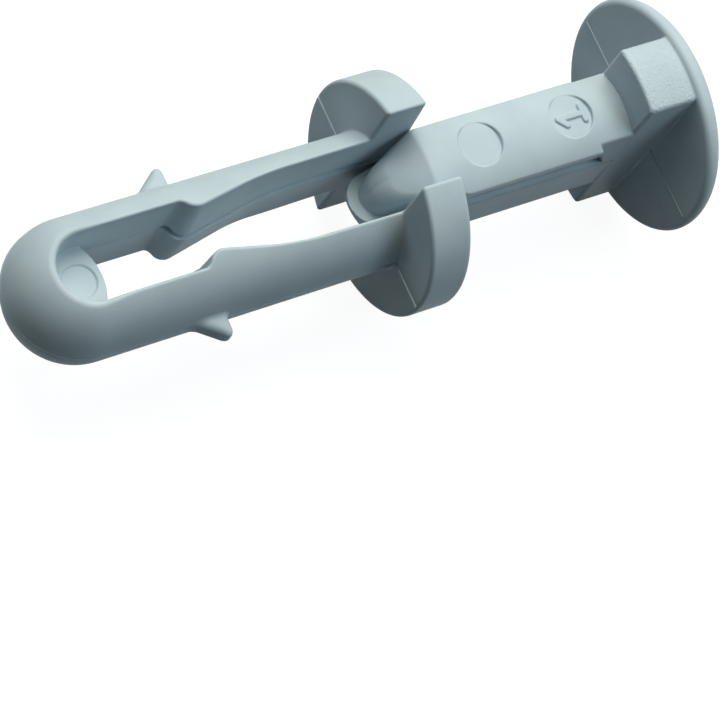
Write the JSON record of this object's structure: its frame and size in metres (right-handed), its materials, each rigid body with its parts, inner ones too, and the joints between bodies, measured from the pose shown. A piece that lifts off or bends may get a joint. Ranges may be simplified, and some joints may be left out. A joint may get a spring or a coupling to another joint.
{
  "type": "expansion rivet",
  "caption": "Push-in plastic rivet: a slotted clip with a collar and barbs, whose legs spread in the hole when the headed drive pin is pushed home.",
  "frame": {"origin": "centre of the panel hole, in the plane of the collar's seat on the panel", "axes": "+X along the rivet towards its head, +Y from the right leg to the left leg, +Z along the slot, up as the rivet lies"},
  "size_m": [0.033, 0.011, 0.011],
  "materials": {
    "clip_plastic": "matt moulded polyamide, pale blue-grey",
    "pin_plastic": "matt moulded polyamide, pale blue-grey"
  },
  "bodies": {
    "tip": {"clip_tip": "clip_plastic"},
    "left_leg": {"left_leg": "clip_plastic"},
    "right_leg": {"right_leg": "clip_plastic"},
    "pin": {"drive_pin": "pin_plastic"}
  },
  "joints": [
    {"name": "pin_drive", "type": "slide", "parent": "tip", "child": "pin", "axis": [-1, 0, 0], "range_m": [0, 0.0121]},
    {"name": "left_leg_spread", "type": "hinge", "parent": "tip", "child": "left_leg", "pos_m": [-0.01406, 0.0024, 0], "axis": [0, 0, 1], "range_deg": [0, 10.4]},
    {"name": "right_leg_spread", "type": "hinge", "parent": "tip", "child": "right_leg", "pos_m": [-0.01406, -0.0024, 0], "axis": [0, 0, -1], "range_deg": [0, 10.4]}
  ],
  "couplings": [
    {"joint": "left_leg_spread", "follows": "pin_drive", "rad_per_m": 14.905},
    {"joint": "right_leg_spread", "follows": "pin_drive", "rad_per_m": 14.905}
  ]
}
